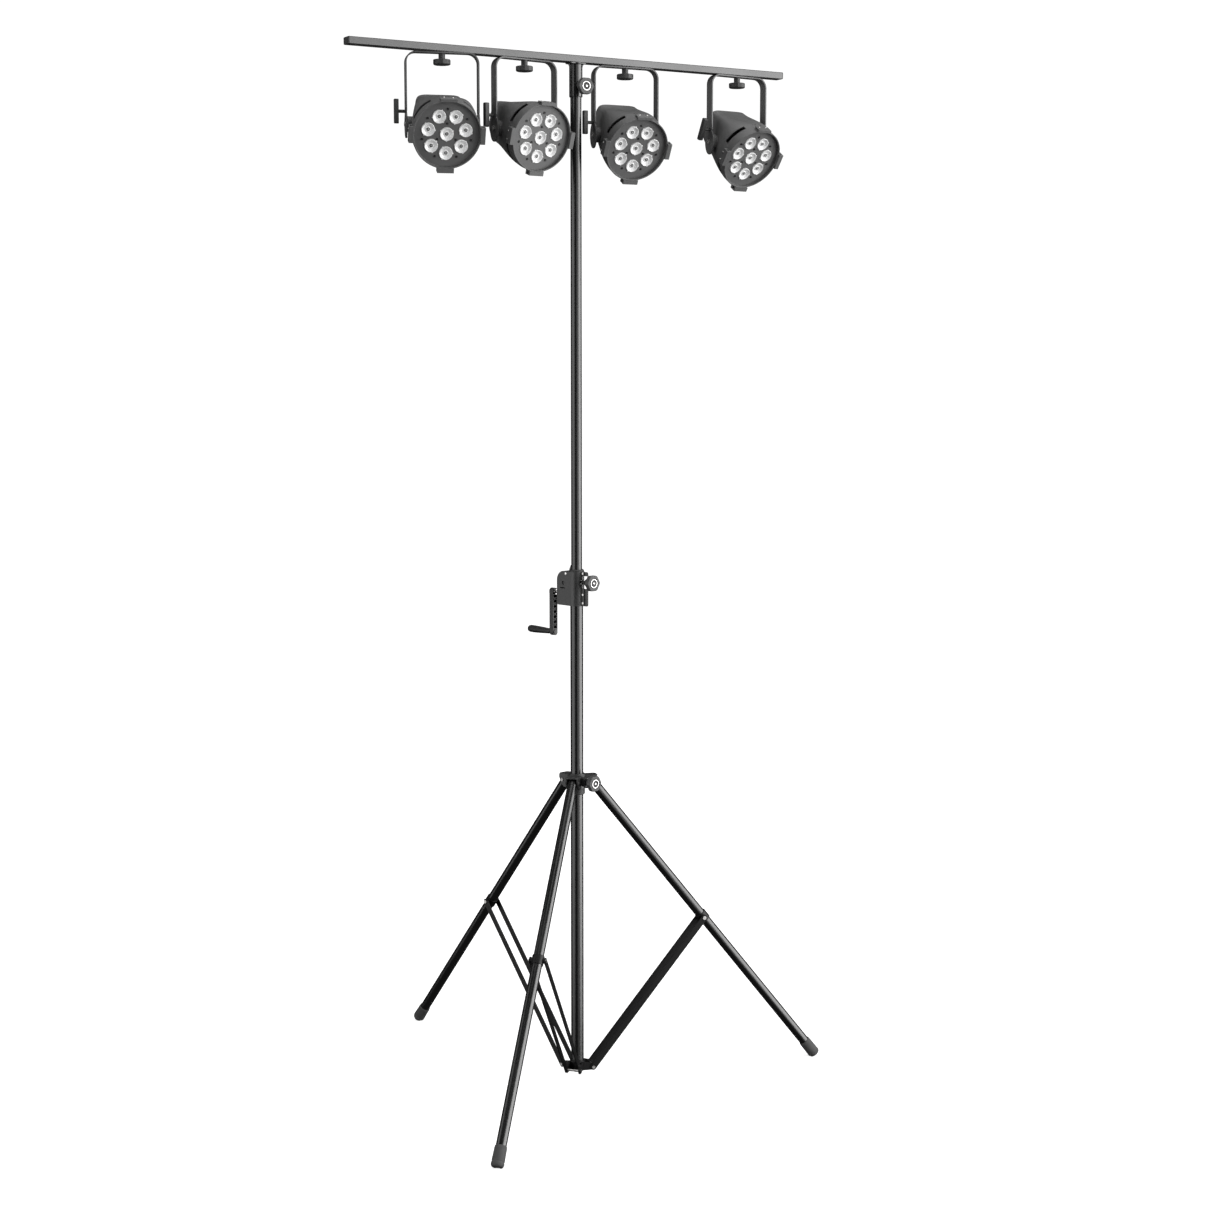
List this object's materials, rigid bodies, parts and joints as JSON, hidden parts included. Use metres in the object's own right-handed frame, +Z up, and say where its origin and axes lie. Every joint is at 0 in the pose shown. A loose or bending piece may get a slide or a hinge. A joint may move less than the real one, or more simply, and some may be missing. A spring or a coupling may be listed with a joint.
{
  "type": "crank lighting stand",
  "caption": "Tripod lighting stand raised by a side crank, with a crossbar carrying LED par lamps on yokes.",
  "frame": {"origin": "on the floor, on the mast's axis, 17 mm below the face of the mast foot's bore", "axes": "+Z up the mast, +X along the crossbar towards its more widely spaced lamp, -Y the side the lamps shine towards"},
  "size_m": [1.4468, 1.2938, 3],
  "materials": {
    "black_steel": "semi-gloss black powder coat on steel",
    "bright_steel": "zinc-plated, turned",
    "machined_steel": "oiled, machined",
    "black_plastic": "fine-grained moulded nylon",
    "rubber": "matt moulded rubber",
    "cast_aluminium": "die-cast, matt black textured coat",
    "lens": "clear moulded lens"
  },
  "bodies": {
    "mast": {"mast_tube": "black_steel", "base_hub": "black_steel", "base_pins": "bright_steel", "winch_case_front": "black_steel", "winch_case_rear": "black_steel", "winch_pins": "bright_steel", "worm_cradle": "machined_steel", "guide_bush": "black_plastic"},
    "drive_gear": {"drive_gear": "machined_steel"},
    "crank": {"worm_shaft": "bright_steel", "crank_arm": "black_plastic"},
    "crank_grip": {"crank_grip": "black_plastic"},
    "winch_knob": {"winch_knob": "black_plastic"},
    "upper_mast": {"inner_tube": "black_steel", "rack": "machined_steel", "inner_tube_bush": "black_plastic"},
    "crossbar": {"crossbar": "black_steel", "crossbar_end_caps": "black_plastic", "crossbar_sleeve": "black_steel"},
    "sleeve_knob": {"sleeve_knob": "black_plastic"},
    "hub": {"leg_hub": "black_steel", "hub_bush": "black_plastic", "hub_pins": "bright_steel"},
    "hub_knob": {"hub_knob": "black_plastic"},
    "brace_1": {"brace_bars_1": "black_steel"},
    "leg_1": {"leg_tube_1": "black_steel", "leg_bracket_1": "black_steel", "foot_1": "rubber"},
    "brace_2": {"brace_bars_2": "black_steel"},
    "leg_2": {"leg_tube_2": "black_steel", "leg_bracket_2": "black_steel", "foot_2": "rubber"},
    "brace_3": {"brace_bars_3": "black_steel"},
    "leg_3": {"leg_tube_3": "black_steel", "leg_bracket_3": "black_steel", "foot_3": "rubber"},
    "lamp_1_yoke": {"lamp_1_yoke": "black_steel"},
    "lamp_1_mount_knob": {"lamp_1_mount_knob": "black_plastic"},
    "lamp_1_tilt_handle": {"lamp_1_tilt_handle": "black_plastic"},
    "lamp_1_head": {"lamp_1_body": "cast_aluminium", "lamp_1_front_ring": "cast_aluminium", "lamp_1_lenses": "lens"},
    "lamp_2_yoke": {"lamp_2_yoke": "black_steel"},
    "lamp_2_mount_knob": {"lamp_2_mount_knob": "black_plastic"},
    "lamp_2_tilt_handle": {"lamp_2_tilt_handle": "black_plastic"},
    "lamp_2_head": {"lamp_2_body": "cast_aluminium", "lamp_2_front_ring": "cast_aluminium", "lamp_2_lenses": "lens"},
    "lamp_3_yoke": {"lamp_3_yoke": "black_steel"},
    "lamp_3_mount_knob": {"lamp_3_mount_knob": "black_plastic"},
    "lamp_3_tilt_handle": {"lamp_3_tilt_handle": "black_plastic"},
    "lamp_3_head": {"lamp_3_body": "cast_aluminium", "lamp_3_front_ring": "cast_aluminium", "lamp_3_lenses": "lens"},
    "lamp_4_yoke": {"lamp_4_yoke": "black_steel"},
    "lamp_4_mount_knob": {"lamp_4_mount_knob": "black_plastic"},
    "lamp_4_tilt_handle": {"lamp_4_tilt_handle": "black_plastic"},
    "lamp_4_head": {"lamp_4_body": "cast_aluminium", "lamp_4_front_ring": "cast_aluminium", "lamp_4_lenses": "lens"}
  },
  "joints": [
    {"name": "mast_raise", "type": "slide", "parent": "mast", "child": "upper_mast", "axis": [0, 0, 1], "range_m": [-1, 0]},
    {"name": "gear_turn", "type": "hinge", "parent": "mast", "child": "drive_gear", "pos_m": [-0.00849, 0.03292, 1.493], "axis": [-0.9683, -0.2497, 0], "range_deg": [-2870, 5]},
    {"name": "crank_turn", "type": "hinge", "parent": "mast", "child": "crank", "pos_m": [-0.01498, 0.0581, 1.461], "axis": [-0.2497, 0.9683, 0], "range_deg": [-28655, 5]},
    {"name": "crank_grip_spin", "type": "hinge", "parent": "crank", "child": "crank_grip", "pos_m": [-0.02947, 0.11426, 1.341], "axis": [-0.2497, 0.9683, 0], "continuous": true},
    {"name": "winch_knob_turn", "type": "hinge", "parent": "mast", "child": "winch_knob", "pos_m": [0.00999, -0.03873, 1.497], "axis": [0.2497, -0.9683, 0], "range_deg": [0, 360]},
    {"name": "crossbar_turn", "type": "hinge", "parent": "upper_mast", "child": "crossbar", "pos_m": [0, 0, 2.93], "axis": [0, 0, 1], "range_deg": [-90, 90]},
    {"name": "sleeve_knob_turn", "type": "hinge", "parent": "crossbar", "child": "sleeve_knob", "pos_m": [0, -0.04, 2.91], "axis": [0, -1, 0], "range_deg": [0, 360]},
    {"name": "leg_fold", "type": "hinge", "parent": "mast", "child": "brace_1", "pos_m": [0.04239, -0.01179, 0.032], "axis": [-0.2679, -0.9634, 0], "range_deg": [0, 36]},
    {"name": "leg_1_pivot", "type": "hinge", "parent": "brace_1", "child": "leg_1", "pos_m": [0.37572, -0.10448, 0.4682], "axis": [-0.2679, -0.9634, 0], "range_deg": [-72.5, 0.5]},
    {"name": "brace_2_fold", "type": "hinge", "parent": "mast", "child": "brace_2", "pos_m": [-0.03141, -0.03082, 0.032], "axis": [-0.7004, 0.7137, 0], "range_deg": [-0.5, 36.5]},
    {"name": "leg_2_pivot", "type": "hinge", "parent": "brace_2", "child": "leg_2", "pos_m": [-0.27834, -0.27314, 0.4682], "axis": [-0.7004, 0.7137, 0], "range_deg": [-72.5, 0.5]},
    {"name": "brace_3_fold", "type": "hinge", "parent": "mast", "child": "brace_3", "pos_m": [-0.01099, 0.04261, 0.032], "axis": [0.9683, 0.2497, 0], "range_deg": [-0.5, 36.5]},
    {"name": "leg_3_pivot", "type": "hinge", "parent": "brace_3", "child": "leg_3", "pos_m": [-0.09738, 0.37762, 0.4682], "axis": [0.9683, 0.2497, 0], "range_deg": [-72.5, 0.5]},
    {"name": "hub_pivot", "type": "hinge", "parent": "leg_1", "child": "hub", "pos_m": [0.04239, -0.01179, 0.9044], "axis": [-0.2679, -0.9634, 0], "range_deg": [-0.5, 36.5]},
    {"name": "hub_knob_turn", "type": "hinge", "parent": "hub", "child": "hub_knob", "pos_m": [0.00999, -0.03873, 0.906], "axis": [0.2497, -0.9683, 0], "range_deg": [0, 360]},
    {"name": "lamp_1_pan", "type": "hinge", "parent": "crossbar", "child": "lamp_1_yoke", "pos_m": [-0.4204, 0, 2.978], "axis": [0, 0, 1], "range_deg": [-20, 20]},
    {"name": "lamp_1_mount_knob_turn", "type": "hinge", "parent": "lamp_1_yoke", "child": "lamp_1_mount_knob", "pos_m": [-0.4204, 0, 2.955], "axis": [0, 0, 1], "range_deg": [-360, 0]},
    {"name": "lamp_1_tilt", "type": "hinge", "parent": "lamp_1_yoke", "child": "lamp_1_head", "pos_m": [-0.4204, 0, 2.784], "axis": [0.9578, -0.2874, 0], "range_deg": [-38.2, 66.8]},
    {"name": "lamp_1_tilt_handle_turn", "type": "hinge", "parent": "lamp_1_yoke", "child": "lamp_1_tilt_handle", "pos_m": [-0.53055, 0.03305, 2.818], "axis": [-0.9578, 0.2874, 0], "range_deg": [0, 180]},
    {"name": "lamp_2_pan", "type": "hinge", "parent": "crossbar", "child": "lamp_2_yoke", "pos_m": [-0.165, 0, 2.978], "axis": [0, 0, 1], "range_deg": [-20, 20]},
    {"name": "lamp_2_mount_knob_turn", "type": "hinge", "parent": "lamp_2_yoke", "child": "lamp_2_mount_knob", "pos_m": [-0.165, 0, 2.955], "axis": [0, 0, 1], "range_deg": [-360, 0]},
    {"name": "lamp_2_tilt", "type": "hinge", "parent": "lamp_2_yoke", "child": "lamp_2_head", "pos_m": [-0.165, 0, 2.784], "axis": [0.9954, 0.0958, 0], "range_deg": [-34.1, 70.9]},
    {"name": "lamp_2_tilt_handle_turn", "type": "hinge", "parent": "lamp_2_yoke", "child": "lamp_2_tilt_handle", "pos_m": [-0.27947, -0.01102, 2.818], "axis": [-0.9954, -0.0958, 0], "range_deg": [0, 180]},
    {"name": "lamp_3_pan", "type": "hinge", "parent": "crossbar", "child": "lamp_3_yoke", "pos_m": [0.1624, 0, 2.978], "axis": [0, 0, 1], "range_deg": [-20, 20]},
    {"name": "lamp_3_mount_knob_turn", "type": "hinge", "parent": "lamp_3_yoke", "child": "lamp_3_mount_knob", "pos_m": [0.1624, 0, 2.955], "axis": [0, 0, 1], "range_deg": [-360, 0]},
    {"name": "lamp_3_tilt", "type": "hinge", "parent": "lamp_3_yoke", "child": "lamp_3_head", "pos_m": [0.1624, 0, 2.784], "axis": [0.9971, -0.0767, 0], "range_deg": [-44.4, 60.6]},
    {"name": "lamp_3_tilt_handle_turn", "type": "hinge", "parent": "lamp_3_yoke", "child": "lamp_3_tilt_handle", "pos_m": [0.04774, 0.00882, 2.818], "axis": [-0.9971, 0.0767, 0], "range_deg": [0, 180]},
    {"name": "lamp_4_pan", "type": "hinge", "parent": "crossbar", "child": "lamp_4_yoke", "pos_m": [0.5483, 0, 2.978], "axis": [0, 0, 1], "range_deg": [-20, 20]},
    {"name": "lamp_4_mount_knob_turn", "type": "hinge", "parent": "lamp_4_yoke", "child": "lamp_4_mount_knob", "pos_m": [0.5483, 0, 2.955], "axis": [0, 0, 1], "range_deg": [-360, 0]},
    {"name": "lamp_4_tilt", "type": "hinge", "parent": "lamp_4_yoke", "child": "lamp_4_head", "pos_m": [0.5483, 0, 2.784], "axis": [0.9969, 0.0785, 0], "range_deg": [-50.3, 54.7]},
    {"name": "lamp_4_tilt_handle_turn", "type": "hinge", "parent": "lamp_4_yoke", "child": "lamp_4_tilt_handle", "pos_m": [0.43366, -0.00902, 2.818], "axis": [-0.9969, -0.0785, 0], "range_deg": [0, 180]}
  ],
  "couplings": [
    {"joint": "gear_turn", "follows": "mast_raise", "rad_per_m": 50},
    {"joint": "crank_turn", "follows": "mast_raise", "rad_per_m": 500},
    {"joint": "leg_1_pivot", "follows": "leg_fold", "ratio": -2},
    {"joint": "brace_2_fold", "follows": "leg_fold", "ratio": 1},
    {"joint": "leg_2_pivot", "follows": "leg_fold", "ratio": -2},
    {"joint": "brace_3_fold", "follows": "leg_fold", "ratio": 1},
    {"joint": "leg_3_pivot", "follows": "leg_fold", "ratio": -2},
    {"joint": "hub_pivot", "follows": "leg_fold", "ratio": 1}
  ]
}
